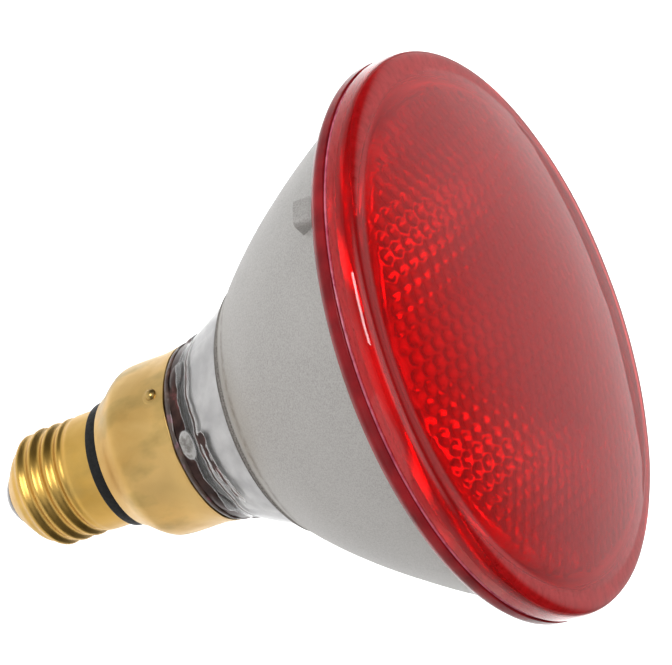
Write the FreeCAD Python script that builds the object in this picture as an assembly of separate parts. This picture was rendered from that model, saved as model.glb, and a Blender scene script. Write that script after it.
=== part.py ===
import FreeCAD, Part
import math
import os
from FreeCAD import Vector

# Sealed reflector heat lamp with a red lens and a skirted Edison screw cap, in millimetres.
# The origin is the tip of the centre contact. +Z is the lamp's axis, from the cap to the lens.

# Driving dimensions
LENGTH = 135.0              # contact tip to the crown of the lens
RIM_R = 61.3                # reflector flange, the widest place
BAND_R = 61.2               # straight outer band of the lens, where a guard ring slides on
CROWN_R = 180.0             # sphere radius of the lens dome, outside and inside
LENS_T = 4.0                # lens thickness at the crown

# Lens and rim
FLANGE_BACK_Z = 115.4       # back of the reflector's flange
SEAL_Z = 119.0              # top of the flange, under the seal
SEAL_T = 0.4                # fused seal between flange and lens
SEAL_R = 60.5               # outer edge of the seal, a shallow groove
RIM_BORE_R = 54.0           # mouth of the reflector and inner edge of the seal
LENS_BASE_Z = SEAL_Z + SEAL_T
BAND_Z0 = 119.8             # straight stretch of the lens band
BAND_Z1 = 123.2
SHOULDER = (59.2, 125.7)    # radius and height where the band's rounding ends
LAND_END = (55.6, 126.1)    # inner end of the flat land round the dome
DOME_EDGE_R = 54.6          # the dome's own edge

# Reflector: two paraboloids of revolution, r squared = LATUS * (z - vertex)
OUTER_LATUS = 56.0
OUTER_VERTEX_Z = 57.8
INNER_LATUS = 54.0
INNER_VERTEX_Z = 61.5
NECK_BEAD = (28.5, 71.4)    # small bead where the bowl meets the neck
NECK_TOP = (26.9, 70.5)
NECK_KNEE = (20.3, 57.2)    # top of the straight stretch that carries the lobes
NECK_EDGE = (19.6, 53.8)    # clear glass neck where it comes out of the skirt
NECK_SPIGOT_R = 18.0        # neck glass held inside the skirt
NECK_BORE_R = 15.0
NECK_FOOT_Z = 41.0
FLOOR_Z = 56.5              # underside of the glass floor that holds the ferrules
MIRROR_SHIFT = 0.4          # mirror film, measured along the axis
LUG_COUNT = 2
LUG_ANGLE = 231.0
LUG_WIDTH = 6.5
LUG_R = 58.3
LUG_Z0 = 111.4
LOBE_COUNT = 8
LOBE_ANGLE = 2.0
LOBE_R = 3.6                # ball radius of a lobe, mostly sunk in the neck
LOBE_CENTRE = (17.2, 56.5)

# Cap
PITCH = 3.629               # 27 mm Edison screw
THREAD_MEAN_R = 12.5
THREAD_DEPTH = 0.9
COLLAR_R = 12.9
SHELL_T = 0.35
SHELL_Z0 = 3.2
SHELL_END_R = 6.4
SHELL_END_LENGTH = 8.0      # rounded end, up to the full thread
SHELL_Z1 = 28.4
THREAD_Z0 = 7.4
THREAD_Z1 = 22.6
RING_T = 3.0
RING_R = 14.0
RING_BORE_R = 10.5
SKIRT_T = 0.45
SKIRT_R = 19.15
SKIRT_SMALL_R = RING_R + 0.2
SKIRT_MOUTH_R = 19.7
SKIRT_FLARE = 4.0           # the mouth opens over this height
SKIRT_Z0 = SHELL_Z1 + RING_T
SKIRT_Z1 = 52.7
CRIMP_COUNT = 2
CRIMP_ANGLE = 232.0
CRIMP_Z = 49.2
CRIMP_R = 1.25
CONTACT_R = 3.4
CONTACT_Z = 0.6
CONTACT_T = 0.8
INSULATOR_RIM_R = 4.1
WIRE_HOLE_R = 1.2

# Mount and filament
FERRULE_X = 9.0
FERRULE_R = 4.2
FERRULE_T = 0.4
FERRULE_Z0 = 53.0
FERRULE_Z1 = 62.0
POST_R = 1.0
POST_Z0 = 57.5
FILAMENT_Z = INNER_VERTEX_Z + INNER_LATUS / 4    # the paraboloid's focus
CLAMP = (2.8, 2.6, 2.8)
COIL_R = 1.6
COIL_WIRE_R = 0.28
COIL_TURNS = 11
BRIDGE_Z = 67.0
BRIDGE = (23.0, 4.0, 3.0)
HOOK_WIRE_R = 0.3
LEAD_R = 0.4
SHELL_SOLDER_Z = 24.4
TUBE_R = 2.8
TUBE_BORE_R = 1.5
TUBE_TIP_Z = 43.6

AXIS = Vector(0, 0, 1)


def at(r, z):
    """A point of an outline, in the half plane of radius and height."""
    return Vector(r, 0, z)


def line(a, b):
    return Part.LineSegment(at(*a), at(*b)).toShape()


def arc(a, through, b):
    return Part.Arc(at(*a), at(*through), at(*b)).toShape()


def dome(edge_r, edge_z, tip_z):
    """A round end, centred on the axis, from its edge to its tip."""
    sag = edge_z - tip_z
    radius = (edge_r ** 2 + sag ** 2) / (2 * abs(sag))
    centre_z = tip_z + math.copysign(radius, sag)
    half_r = edge_r / 2
    half_z = centre_z - math.copysign(math.sqrt(radius ** 2 - half_r ** 2), sag)
    return arc((edge_r, edge_z), (half_r, half_z), (0, tip_z))


def smooth(points):
    """One smooth curve through the points."""
    curve = Part.BSplineCurve()
    curve.interpolate([at(*p) for p in points])
    return curve.toShape()


def path_of(points):
    return [line(a, b) for a, b in zip(points, points[1:])]


def parabola(latus, vertex_z, r0, r1):
    """An exact stretch of the parabola r*r = latus * (z - vertex_z)."""
    curve = Part.BezierCurve()
    middle = (r0 + r1) / 2
    curve.setPoles([
        at(r0, vertex_z + r0 * r0 / latus),
        at(middle, vertex_z + r0 * r1 / latus),
        at(r1, vertex_z + r1 * r1 / latus),
    ])
    return curve.toShape()


def turned(edges):
    """The solid that an outline sweeps round the lamp's axis."""
    face = Part.Face(Part.Wire(Part.__sortEdges__(edges)))
    return face.revolve(Vector(0, 0, 0), AXIS, 360)


def rod(radius, x, y, z0, z1):
    return Part.makeCylinder(radius, z1 - z0, Vector(x, y, z0), AXIS)


def block(size, centre):
    corner = centre - Vector(*size) / 2
    return Part.makeBox(size[0], size[1], size[2], corner)


def around(shape, count, first_angle):
    """Copies of a shape that lies along +X, spaced evenly round the axis."""
    copies = []
    for i in range(count):
        copy = shape.copy()
        copy.rotate(Vector(0, 0, 0), AXIS, first_angle + i * 360 / count)
        copies.append(copy)
    return copies


def bent_wire(points, wire_r, bend_r):
    """A round wire along straight runs joined by tangent arcs."""
    edges = []
    start = points[0]
    for before, corner, after in zip(points, points[1:], points[2:]):
        back = (before - corner).normalize()
        ahead = (after - corner).normalize()
        half = back.getAngle(ahead) / 2
        reach = bend_r / math.tan(half)
        middle = (back + ahead).normalize()
        touch_in = corner + back * reach
        touch_out = corner + ahead * reach
        top = corner + middle * (bend_r / math.sin(half) - bend_r)
        edges.append(Part.LineSegment(start, touch_in).toShape())
        edges.append(Part.Arc(touch_in, top, touch_out).toShape())
        start = touch_out
    edges.append(Part.LineSegment(start, points[-1]).toShape())
    section = Part.Wire(Part.Circle(points[0], points[1] - points[0], wire_r).toShape())
    return Part.Wire(edges).makePipeShell([section], True, False)


def dome_z(crown_z, radius):
    """Height of the lens's sphere at a radius from the axis."""
    return crown_z - CROWN_R + math.sqrt(CROWN_R ** 2 - radius ** 2)


# ---- glass envelope -------------------------------------------------------------------------

def lens():
    """Domed front glass: a spherical dome, a flat land round it and a rounded outer band."""
    inner_crown = LENGTH - LENS_T
    inner_r = DOME_EDGE_R - 2.4
    dome_edge = (DOME_EDGE_R, dome_z(LENGTH, DOME_EDGE_R))
    inner_edge = (inner_r, dome_z(inner_crown, inner_r))
    half_r = DOME_EDGE_R / 2
    corner = (BAND_R - 0.55, (BAND_Z1 + SHOULDER[1]) / 2 + 0.45)
    seat = (SEAL_R - 0.2, LENS_BASE_Z)
    edges = [
        arc((0, LENGTH), (half_r, dome_z(LENGTH, half_r)), dome_edge),
        line(dome_edge, LAND_END),
        line(LAND_END, SHOULDER),
        arc(SHOULDER, corner, (BAND_R, BAND_Z1)),
        line((BAND_R, BAND_Z1), (BAND_R, BAND_Z0)),
        line((BAND_R, BAND_Z0), seat),
        line(seat, (RIM_BORE_R, LENS_BASE_Z)),
        line((RIM_BORE_R, LENS_BASE_Z), inner_edge),
        arc(inner_edge, (half_r, dome_z(inner_crown, half_r)), (0, inner_crown)),
        line((0, inner_crown), (0, LENGTH)),
    ]
    return turned(edges)


def rim_seal():
    """Fused joint line between the lens and the reflector."""
    return turned(path_of([
        (RIM_BORE_R, SEAL_Z),
        (SEAL_R, SEAL_Z),
        (SEAL_R, LENS_BASE_Z),
        (RIM_BORE_R, LENS_BASE_Z),
        (RIM_BORE_R, SEAL_Z),
    ]))


def reflector_body():
    """Pressed bowl, flange and neck before its holes are cut."""
    bowl_r = math.sqrt(OUTER_LATUS * (FLANGE_BACK_Z - OUTER_VERTEX_Z))
    bead_z = NECK_BEAD[1]
    foot_r = math.sqrt(OUTER_LATUS * (bead_z + 1.2 - OUTER_VERTEX_Z))
    mouth_z = INNER_VERTEX_Z + RIM_BORE_R ** 2 / INNER_LATUS
    flange_edge = (RIM_R - 1.4, FLANGE_BACK_Z)
    flange_top = (SEAL_R, SEAL_Z)
    spigot_top = (NECK_SPIGOT_R, NECK_EDGE[1] - 1.0)
    edges = [
        parabola(OUTER_LATUS, OUTER_VERTEX_Z, foot_r, bowl_r),
        line((bowl_r, FLANGE_BACK_Z), flange_edge),
        arc(flange_edge, (RIM_R, FLANGE_BACK_Z + 1.8), flange_top),
        line(flange_top, (RIM_BORE_R, SEAL_Z)),
        line((RIM_BORE_R, SEAL_Z), (RIM_BORE_R, mouth_z)),
        parabola(INNER_LATUS, INNER_VERTEX_Z, 0, RIM_BORE_R),
        line((0, INNER_VERTEX_Z), (0, FLOOR_Z)),
        *path_of([
            (0, FLOOR_Z),
            (NECK_BORE_R, FLOOR_Z),
            (NECK_BORE_R, NECK_FOOT_Z),
            (NECK_SPIGOT_R, NECK_FOOT_Z),
            spigot_top,
            NECK_EDGE,
            NECK_KNEE,
            NECK_TOP,
        ]),
        arc(NECK_TOP, NECK_BEAD, (foot_r, bead_z + 1.2)),
    ]
    return turned(edges)


def reflector_glass():
    """Pressed glass bowl with its neck, locating lugs behind the flange and lobes round the neck."""
    lug_depth = 3.6
    lug_height = FLANGE_BACK_Z - LUG_Z0 + 0.5
    lug = block(
        (lug_depth, LUG_WIDTH, lug_height),
        Vector(LUG_R - lug_depth / 2, 0, LUG_Z0 + lug_height / 2),
    )
    lobe = Part.makeSphere(LOBE_R, Vector(LOBE_CENTRE[0], 0, LOBE_CENTRE[1]))
    body = reflector_body()
    body = body.fuse(around(lug, LUG_COUNT, LUG_ANGLE))
    body = body.fuse(around(lobe, LOBE_COUNT, LOBE_ANGLE))
    holes = [rod(FERRULE_R, side * FERRULE_X, 0, FLOOR_Z - 1, FERRULE_Z1 + 5) for side in (-1, 1)]
    holes.append(rod(TUBE_BORE_R, 0, 0, FLOOR_Z - 1, INNER_VERTEX_Z + 1))
    return body.cut(holes)


def mirror_coating():
    """Reflecting film on the inside of the bowl, open round the ferrules and the pumping hole."""
    top_r = RIM_BORE_R
    top_z = INNER_VERTEX_Z + top_r ** 2 / INNER_LATUS
    lifted = INNER_VERTEX_Z + MIRROR_SHIFT
    film = turned([
        parabola(INNER_LATUS, INNER_VERTEX_Z, 0, top_r),
        line((top_r, top_z), (top_r, top_z + MIRROR_SHIFT)),
        parabola(INNER_LATUS, lifted, 0, top_r),
        line((0, lifted), (0, INNER_VERTEX_Z)),
    ])
    margin = 0.3
    holes = [
        rod(FERRULE_R + margin, side * FERRULE_X, 0, FLOOR_Z, FERRULE_Z1 + 6)
        for side in (-1, 1)
    ]
    holes.append(rod(TUBE_BORE_R + margin, 0, 0, FLOOR_Z, INNER_VERTEX_Z + 2))
    return film.cut(holes)


def exhaust_tip():
    """Pumping tube under the floor, melted shut at its tip."""
    shut = TUBE_TIP_Z + TUBE_R
    bore_end = shut + 1.0
    bore_tip = bore_end - TUBE_BORE_R
    return turned([
        line((TUBE_BORE_R, FLOOR_Z), (TUBE_R, FLOOR_Z)),
        line((TUBE_R, FLOOR_Z), (TUBE_R, shut)),
        dome(TUBE_R, shut, TUBE_TIP_Z),
        line((0, TUBE_TIP_Z), (0, bore_tip)),
        dome(TUBE_BORE_R, bore_end, bore_tip),
        line((TUBE_BORE_R, bore_end), (TUBE_BORE_R, FLOOR_Z)),
    ])


# ---- mount inside the bowl ------------------------------------------------------------------

def ferrule(x):
    """Metal cup sealed into the glass floor, open downwards, with a hole for the lead post."""
    outside = rod(FERRULE_R, x, 0, FERRULE_Z0, FERRULE_Z1)
    inside = rod(FERRULE_R - FERRULE_T, x, 0, FERRULE_Z0 - 1, FERRULE_Z1 - 0.6)
    return outside.cut([inside, rod(POST_R, x, 0, FERRULE_Z0, FERRULE_Z1 + 1)])


def braze(x):
    """Silver solder that holds a lead post in its ferrule."""
    top = FERRULE_Z1 - 0.6
    ring = rod(FERRULE_R - FERRULE_T, x, 0, top - 1.2, top)
    return ring.cut(rod(POST_R, x, 0, top - 2, top + 1))


def lead_post(x):
    return rod(POST_R, x, 0, POST_Z0, FILAMENT_Z - CLAMP[2] / 2)


def filament_clamp(x):
    """Folded plate block on top of a post that grips one end of the filament."""
    body = block(CLAMP, Vector(x, 0, FILAMENT_Z))
    upright = [e for e in body.Edges if abs(e.tangentAt(e.FirstParameter).z) > 0.9]
    return body.makeFillet(0.5, upright)


def filament_coil():
    """Tungsten coil between the clamps, with a straight leg into each of them."""
    leg_end = FERRULE_X - CLAMP[0] / 2
    leg = 1.2
    span = 2 * (leg_end - leg)
    helix = Part.makeHelix(span / COIL_TURNS, span, COIL_R)
    start = Vector(COIL_R, 0, 0)
    rise = span / COIL_TURNS / (2 * math.pi)
    section = Part.Wire(Part.Circle(start, Vector(0, COIL_R, rise), COIL_WIRE_R).toShape())
    coil = Part.Wire(helix.Edges).makePipeShell([section], True, True)
    coil.rotate(Vector(0, 0, 0), Vector(0, 1, 0), 90)
    coil.translate(Vector(-span / 2, 0, FILAMENT_Z))
    legs = []
    for side in (-1, 1):
        outer = Vector(side * leg_end, 0, FILAMENT_Z - COIL_R)
        reach = Vector(-side, 0, 0)
        legs.append(Part.makeCylinder(COIL_WIRE_R, leg + 0.1, outer, reach))
    return coil.fuse(legs)


def bridge_insulator():
    """Ceramic bar across the two posts that carries the filament's middle support."""
    bar = block(BRIDGE, Vector(0, 0, BRIDGE_Z))
    upright = [e for e in bar.Edges if abs(e.tangentAt(e.FirstParameter).z) > 0.9]
    bar = bar.makeFillet(1.2, upright)
    low = BRIDGE_Z - BRIDGE[2]
    high = BRIDGE_Z + BRIDGE[2]
    return bar.cut([rod(POST_R, side * FERRULE_X, 0, low, high) for side in (-1, 1)])


def filament_support():
    """Wire that stands on the bridge and loops round the middle of the coil."""
    loop_r = COIL_R + COIL_WIRE_R + HOOK_WIRE_R + 0.25
    loop = Part.makeTorus(loop_r, HOOK_WIRE_R, Vector(0, 0, FILAMENT_Z), Vector(1, 0, 0))
    stem = rod(HOOK_WIRE_R, 0, 0, BRIDGE_Z + BRIDGE[2] / 2, FILAMENT_Z - loop_r)
    return loop.fuse(stem)


# ---- cap ------------------------------------------------------------------------------------

def ramp(value, low, high):
    """Eases from 0 at low to 1 at high."""
    share = min(1.0, max(0.0, (value - low) / (high - low)))
    return share * share * (3 - 2 * share)


def shell_radius(angle, z):
    """Outside of the screw shell: a rounded end, a knuckle thread and a smooth collar."""
    share = min(1.0, (z - SHELL_Z0) / SHELL_END_LENGTH)
    body = SHELL_END_R + (THREAD_MEAN_R - SHELL_END_R) * math.sin(share * math.pi / 2)
    collar = (COLLAR_R - THREAD_MEAN_R) * ramp(z, THREAD_Z1 - 2.0, THREAD_Z1 + 0.4)
    fade_in = ramp(z, THREAD_Z0 - 1.4, THREAD_Z0 + 2.4)
    fade_out = 1 - ramp(z, THREAD_Z1 - 2.4, THREAD_Z1)
    wave = math.cos(2 * math.pi * z / PITCH - angle)
    return body + collar + fade_in * fade_out * wave * THREAD_DEPTH / 2


def shell_surface(inward):
    """The shell's outer surface, or its inner one, moved inward by the sheet's thickness."""
    across = 42
    along = 118
    rows = []
    for i in range(across + 1):
        angle = 2 * math.pi * i / across
        row = []
        for j in range(along + 1):
            z = SHELL_Z0 + (SHELL_Z1 - SHELL_Z0) * j / along
            radius = shell_radius(angle, z) - inward
            row.append(Vector(radius * math.cos(angle), radius * math.sin(angle), z))
        rows.append(row)
    rows[-1] = rows[0]
    surface = Part.BSplineSurface()
    surface.interpolate(rows)
    return surface


def screw_shell():
    """Formed brass screw shell, open at both ends, joined from three upright strips."""
    strips = 3
    outside = shell_surface(0)
    inside = shell_surface(SHELL_T)
    faces = []
    for i in range(strips):
        walls = []
        for surface in (outside, inside):
            strip = surface.copy()
            strip.segment(i / strips, (i + 1) / strips, 0, 1)
            walls.append(strip)
            faces.append(strip.toShape())
        for end in (0, 1):
            edges = [wall.vIso(end).toShape() for wall in walls]
            faces.append(Part.makeRuledSurface(*edges))
    sewn = Part.makeCompound(faces)
    sewn.sewShape()
    solid = Part.Solid(sewn.Shells[0])
    if solid.Volume < 0:
        solid.reverse()
    return solid


def base_insulator():
    """Black glass cone that closes the shell's end round the contact."""
    lip = (SHELL_END_R - 0.1, SHELL_Z0)
    seat = (INSULATOR_RIM_R - 0.5, CONTACT_Z + 0.5)
    return turned([
        line((WIRE_HOLE_R, CONTACT_Z + CONTACT_T), (CONTACT_R, CONTACT_Z + CONTACT_T)),
        line((CONTACT_R, CONTACT_Z + CONTACT_T), seat),
        arc(seat, (INSULATOR_RIM_R + 0.3, CONTACT_Z + 0.75), (INSULATOR_RIM_R + 0.9, CONTACT_Z + 1.6)),
        line((INSULATOR_RIM_R + 0.9, CONTACT_Z + 1.6), lip),
        line(lip, (SHELL_END_R - SHELL_T - 0.15, SHELL_Z0)),
        line((SHELL_END_R - SHELL_T - 0.15, SHELL_Z0), (SHELL_END_R - 0.6, SHELL_Z0 + 3.6)),
        line((SHELL_END_R - 0.6, SHELL_Z0 + 3.6), (WIRE_HOLE_R, SHELL_Z0 + 3.6)),
        line((WIRE_HOLE_R, SHELL_Z0 + 3.6), (WIRE_HOLE_R, CONTACT_Z + CONTACT_T)),
    ])


def centre_contact():
    """Contact plate pressed into the insulator, with a hole for the lead."""
    return turned(path_of([
        (LEAD_R, CONTACT_Z),
        (CONTACT_R - 0.4, CONTACT_Z),
        (CONTACT_R, CONTACT_Z + 0.4),
        (CONTACT_R, CONTACT_Z + CONTACT_T),
        (LEAD_R, CONTACT_Z + CONTACT_T),
        (LEAD_R, CONTACT_Z),
    ]))


def contact_solder():
    """Solder bead over the lead's end: the very tip of the lamp."""
    bead_r = 2.4
    return turned([
        line((0, 0), (0, CONTACT_Z)),
        line((0, CONTACT_Z), (bead_r, CONTACT_Z)),
        dome(bead_r, CONTACT_Z, 0),
    ])


def insulating_ring():
    """Black ring that joins the screw shell to the skirt and keeps them apart."""
    shell_bore = COLLAR_R - SHELL_T - 0.02
    return turned(path_of([
        (RING_BORE_R, SHELL_Z1 - 2.4),
        (shell_bore, SHELL_Z1 - 2.4),
        (shell_bore, SHELL_Z1),
        (RING_R, SHELL_Z1),
        (RING_R, SKIRT_Z0),
        (RING_R - 0.9, SKIRT_Z0),
        (RING_R - 0.9, SKIRT_Z0 + 1.6),
        (RING_BORE_R, SKIRT_Z0 + 1.6),
        (RING_BORE_R, SHELL_Z1 - 2.4),
    ]))


def skirt_outline(inward):
    """Skirt wall as edges, moved inward by a distance, from its small end to its mouth."""
    small = SKIRT_SMALL_R - inward
    wide = SKIRT_R - inward
    rise = wide - small
    wall_z = SKIRT_Z0 + 10.6
    flare_z = SKIRT_Z1 - SKIRT_FLARE
    shoulder = smooth([
        (small, SKIRT_Z0),
        (small + 0.20 * rise, SKIRT_Z0 + 0.9),
        (small + 0.42 * rise, SKIRT_Z0 + 2.7),
        (small + 0.72 * rise, SKIRT_Z0 + 4.65),
        (small + 0.92 * rise, SKIRT_Z0 + 6.3),
        (wide, SKIRT_Z0 + 8.6),
        (wide, wall_z),
    ])
    wall = line((wide, wall_z), (wide, flare_z))
    mouth = line((wide, flare_z), (SKIRT_MOUTH_R - inward, SKIRT_Z1))
    return [shoulder, wall, mouth]


def cap_skirt():
    """Drawn brass skirt, staked to the neck by small round crimps."""
    body = turned(
        skirt_outline(0)
        + skirt_outline(SKIRT_T)
        + [
            line((SKIRT_SMALL_R, SKIRT_Z0), (SKIRT_SMALL_R - SKIRT_T, SKIRT_Z0)),
            line((SKIRT_MOUTH_R, SKIRT_Z1), (SKIRT_MOUTH_R - SKIRT_T, SKIRT_Z1)),
        ]
    )
    bump = Part.makeSphere(CRIMP_R, Vector(SKIRT_R - 0.35, 0, CRIMP_Z))
    inside = rod(SKIRT_R - SKIRT_T / 3, 0, 0, CRIMP_Z - 3, CRIMP_Z + 3)
    return body.fuse([b.cut(inside) for b in around(bump, CRIMP_COUNT, CRIMP_ANGLE)])


def basing_cement():
    """Cement ring that fills the gap between the neck glass and the skirt."""
    foot_z = NECK_FOOT_Z + 2.0
    bore = SKIRT_R - SKIRT_T
    mouth_bore = SKIRT_MOUTH_R - SKIRT_T
    shelf_z = NECK_EDGE[1] - 1.0
    return turned(path_of([
        (NECK_SPIGOT_R, foot_z),
        (bore, foot_z),
        (bore, SKIRT_Z1 - SKIRT_FLARE),
        (mouth_bore, SKIRT_Z1),
        (SKIRT_MOUTH_R - 0.15, SKIRT_Z1),
        (SKIRT_MOUTH_R, shelf_z),
        (NECK_SPIGOT_R, shelf_z),
        (NECK_SPIGOT_R, foot_z),
    ]))


# ---- wiring in the cap ----------------------------------------------------------------------

def contact_lead():
    """Lead from the left ferrule's post, down the axis and through the contact."""
    bend_r = 5.0
    return bent_wire(
        [
            Vector(-FERRULE_X, 0, POST_Z0),
            Vector(-FERRULE_X, 0, NECK_FOOT_Z + 3),
            Vector(0, 0, SKIRT_Z0 - 1),
            Vector(0, 0, CONTACT_Z),
        ],
        LEAD_R,
        bend_r,
    )


def shell_lead():
    """Lead from the right ferrule's post down to the inside of the screw shell's collar."""
    bend_r = 1.5
    return bent_wire(
        [
            Vector(FERRULE_X, 0, POST_Z0),
            Vector(FERRULE_X, 0, SHELL_SOLDER_Z),
            Vector(COLLAR_R - 1.1, 0, SHELL_SOLDER_Z),
        ],
        LEAD_R,
        bend_r,
    )


def lead_sleeve():
    """Insulating sleeve on the contact lead, where it passes through the screw shell."""
    outer_r = 1.1
    low = SHELL_Z0 + 5
    high = SHELL_Z1 - 5
    return rod(outer_r, 0, 0, low, high).cut(rod(LEAD_R, 0, 0, low - 1, high + 1))


def shell_solder():
    """Solder joint between the shell lead's end and the inside of the collar."""
    bead_r = 1.3
    bore = COLLAR_R - SHELL_T
    bead = Part.makeSphere(bead_r, Vector(bore - 0.45, 0, SHELL_SOLDER_Z))
    room = rod(bore, 0, 0, SHELL_SOLDER_Z - 2 * bead_r, SHELL_SOLDER_Z + 2 * bead_r)
    return bead.common(room).cut(shell_lead())


NODES = {
    "lens": lens,
    "rim_seal": rim_seal,
    "reflector_glass": reflector_glass,
    "mirror_coating": mirror_coating,
    "exhaust_tip": exhaust_tip,
    "ferrule_left": lambda: ferrule(-FERRULE_X),
    "ferrule_right": lambda: ferrule(FERRULE_X),
    "braze_left": lambda: braze(-FERRULE_X),
    "braze_right": lambda: braze(FERRULE_X),
    "lead_post_left": lambda: lead_post(-FERRULE_X),
    "lead_post_right": lambda: lead_post(FERRULE_X),
    "filament_clamp_left": lambda: filament_clamp(-FERRULE_X),
    "filament_clamp_right": lambda: filament_clamp(FERRULE_X),
    "filament_coil": filament_coil,
    "bridge_insulator": bridge_insulator,
    "filament_support": filament_support,
    "screw_shell": screw_shell,
    "base_insulator": base_insulator,
    "centre_contact": centre_contact,
    "contact_solder": contact_solder,
    "insulating_ring": insulating_ring,
    "cap_skirt": cap_skirt,
    "basing_cement": basing_cement,
    "contact_lead": contact_lead,
    "shell_lead": shell_lead,
    "lead_sleeve": lead_sleeve,
    "shell_solder": shell_solder,
}

os.makedirs("parts", exist_ok=True)
for name, make in NODES.items():
    shape = make()
    valid = "valid" if shape.isValid() else "INVALID"
    print(f"{name}: {len(shape.Solids)} solid, {shape.Volume:.1f} mm3, {valid}")
    shape.exportStep(f"parts/{name}.step")
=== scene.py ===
import math

import bpy
import numpy as np
from mathutils import Matrix, Vector, noise


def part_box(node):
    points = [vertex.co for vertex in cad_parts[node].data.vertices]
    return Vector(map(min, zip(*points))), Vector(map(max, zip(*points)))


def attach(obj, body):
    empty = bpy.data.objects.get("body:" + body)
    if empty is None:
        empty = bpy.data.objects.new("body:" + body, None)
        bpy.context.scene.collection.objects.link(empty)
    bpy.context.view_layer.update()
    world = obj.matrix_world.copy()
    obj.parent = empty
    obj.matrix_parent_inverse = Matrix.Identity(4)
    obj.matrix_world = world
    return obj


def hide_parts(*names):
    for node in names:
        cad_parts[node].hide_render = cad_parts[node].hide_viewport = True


# Looks of the red reflector heat lamp. Outlines are in millimetres, as radius and height in the
# CAD frame: the origin is the tip of the centre contact and +Z runs from the cap to the lens.

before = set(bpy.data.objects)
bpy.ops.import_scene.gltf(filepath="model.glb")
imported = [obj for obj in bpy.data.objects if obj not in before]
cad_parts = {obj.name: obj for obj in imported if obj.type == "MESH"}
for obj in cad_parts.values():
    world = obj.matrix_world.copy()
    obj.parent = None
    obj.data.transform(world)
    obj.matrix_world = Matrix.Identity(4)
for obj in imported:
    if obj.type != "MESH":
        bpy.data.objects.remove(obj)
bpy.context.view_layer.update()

MM = 0.001
TURN = 2 * math.pi
TINY = 1e-6


def extent(node):
    """Radius, lowest and highest place of a CAD node, in millimetres."""
    low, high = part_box(node)
    return max(high.x, high.y, -low.x, -low.y) / MM, low.z / MM, high.z / MM


BAND_R, LENS_BASE, CROWN_Z = extent("lens")
RIM_R, NECK_FOOT, FLANGE_TOP = extent("reflector_glass")
MOUTH_R, CEMENT_FOOT, _ = extent("basing_cement")
SHELL_R, SHELL_LOW, SHELL_TOP = extent("screw_shell")
RING_R, RING_LOW, RING_TOP = extent("insulating_ring")
TIP_R, _, TIP_TOP = extent("base_insulator")
PLATE_R, PLATE_LOW, PLATE_TOP = extent("centre_contact")
_, SKIRT_LOW, MOUTH_Z = extent("cap_skirt")

# Lens
CROWN_R = 180.0             # sphere radius of the dome, both sides
LENS_T = 4.0
DOME_EDGE_R = 54.6
DISC_R = 51.0               # the lens's inner face, which carries the lenslets
DISC_CELLS = 210            # grid cells across that face
LENSLET_PITCH = 3.75
LENSLET_TURN = math.radians(100.5)
LENSLET_R = 1.76            # footprint of one lenslet
LENSLET_RISE = 0.46
LENSLET_FIELD = 51.5        # lenslets stop at this radius
BEAD_R = DOME_EDGE_R + 1.9  # the soft bead between the dome and the band
BAND_LOW = LENS_BASE + 0.6
BAND_HIGH = LENS_BASE + 5.8

# Reflector: two paraboloids, radius squared = LATUS * (height - vertex)
OUTER_LATUS = 56.0
OUTER_VERTEX = 57.8
INNER_LATUS = 54.0
INNER_VERTEX = 61.5
RIM_BORE_R = 54.0
FLANGE_BACK = FLANGE_TOP - 3.6
NECK_LOW = (19.6, 53.8)
NECK_KNEE = (20.3, 57.2)
NECK_HIGH = (26.7, 70.2)
BOWL_FOOT = 72.3
GROOVE_TOP = NECK_HIGH[1] + 2.0   # the rough groove ends here
SCORE_Z = 74.5              # a faint worn line above the groove
SPIGOT_R = 18.0
NECK_BORE_R = 15.0
FLOOR_LOW = 56.5
LOBE_COUNT = 8
LOBE_TURN = math.radians(2)
LOBE_Z = 56.4
LOBE_WIDE = 3.5             # half length round the neck
LOBE_HIGH = 2.1
LOBE_RISE = 0.6
SHEEN_LOBE = math.radians(272)     # the lobe painted palest, a painted reflection, with little cement behind it
LUG_COUNT = 2
LUG_TURN = math.radians(231)
LUG_REACH = 55.5            # radius of a lug's middle
LUG_R = 3.2                 # half the lug's width
LUG_FOOT = -1.5
LUG_HEAD = 4.0              # where the lug meets the flange
LUG_FLATNESS = 0.85         # its depth over its width
LUG_SQUARENESS = 6

# Brown stain, and a dark line of painted shade, on the neck, as heights and as degrees round the axis
CEMENT_EDGE_Z = 56.4        # the cement shows through the glass below this
FILM_EDGE_Z = 59.6          # the mirror film's edge, where a dark line is painted as painted shade
BLOT = (271, 61.0)
BLOT_SIZE = (4.6, 1.25)
TRAIL_START = (268, 274)
TRAIL_END = (306, 318)
TRAIL_RISE = (276, 312)
TRAIL_Z = (60.7, 62.4)

# Mirror film
MIRROR_T = 0.15
TAIL_JOIN_R = 22.6          # where the film's tail leaves the bowl for the neck

# Cap
PITCH = 3.629
THREAD_DEPTH = 0.8
SHELL_T = 0.35
SHELL_END_R = 6.4
SHELL_END_LENGTH = 8.0
THREAD_LOW = SHELL_LOW + 4.2
THREAD_HIGH = SHELL_LOW + 19.4
COLLAR_EASE = 2.4           # length over which the thread fades into the collar
SKIRT_T = 0.45
SKIRT_R = MOUTH_R - 0.55
CRIMP_COUNT = 2
CRIMP_TURN = math.radians(232)
CRIMP_Z = MOUTH_Z - 3.5
CRIMP_R = 1.35
FIT_GAP = 0.03              # hairline between pieces that touch

# Points round each turned piece
BOWL_SEGMENTS = 320
MIRROR_SEGMENTS = 240
SEAL_SEGMENTS = 360
SKIRT_SEGMENTS = 300
SHELL_SEGMENTS = 216
RING_SEGMENTS = 240
TIP_SEGMENTS = 180


# ---- outlines -------------------------------------------------------------------------------

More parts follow.
